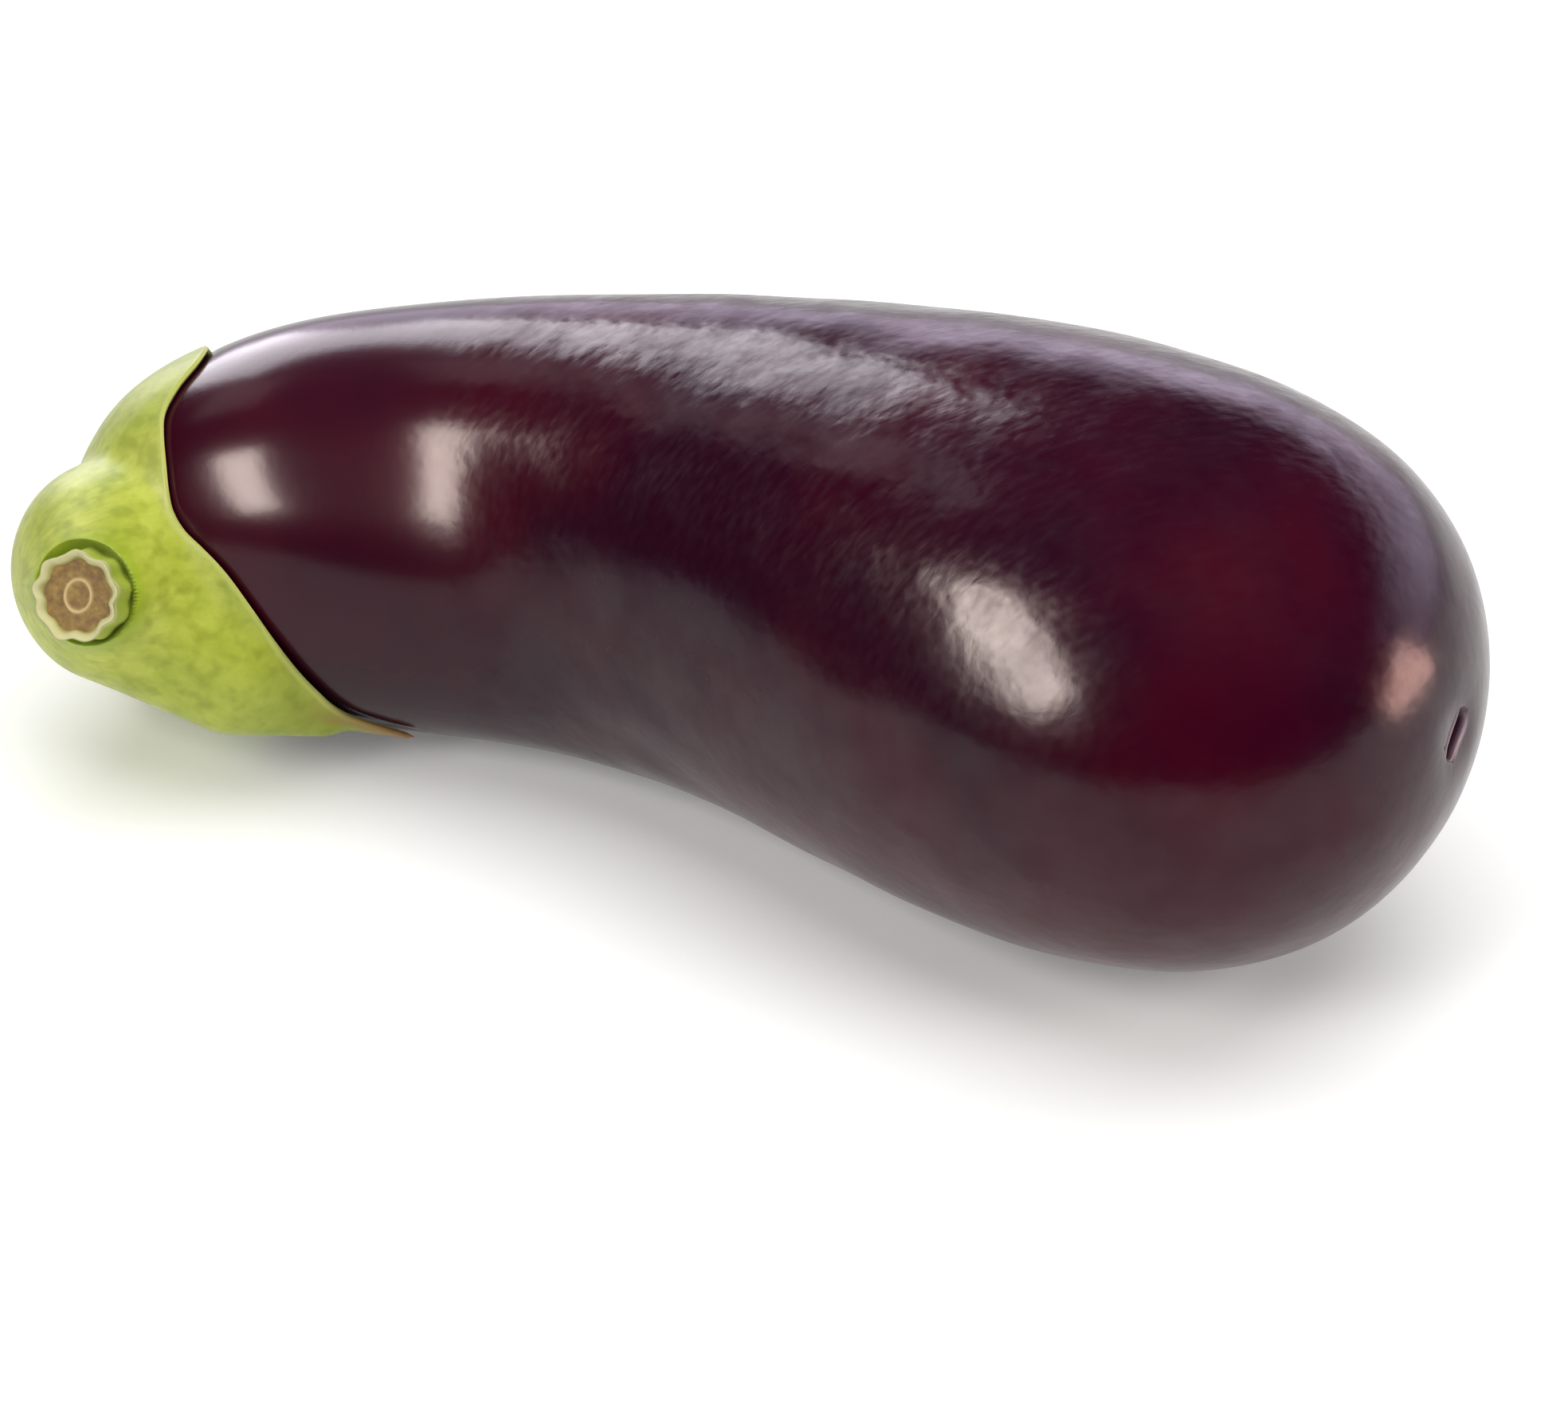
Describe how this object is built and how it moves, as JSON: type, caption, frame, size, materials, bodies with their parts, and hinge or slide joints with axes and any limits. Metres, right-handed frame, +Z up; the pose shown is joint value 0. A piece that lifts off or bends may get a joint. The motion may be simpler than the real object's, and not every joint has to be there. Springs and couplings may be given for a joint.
{
  "type": "eggplant",
  "caption": "Whole ripe eggplant lying on its side, a bent glossy fruit with a lobed green calyx over its neck and a short cut stem.",
  "frame": {"origin": "centre of the bounding box's bottom, on the surface the eggplant lies on", "axes": "+X towards the blossom end, with the cut stem at -X; +Z up; the hollow of the bend faces -Y, which is also the side the stem leans to"},
  "size_m": [0.1961, 0.0854, 0.0795],
  "materials": {
    "fruit_skin": "glossy",
    "calyx_green": "satin",
    "stem_cut": "matte"
  },
  "bodies": {
    "root": {"fruit": "fruit_skin", "calyx": "calyx_green", "stem": "stem_cut"}
  },
  "joints": []
}
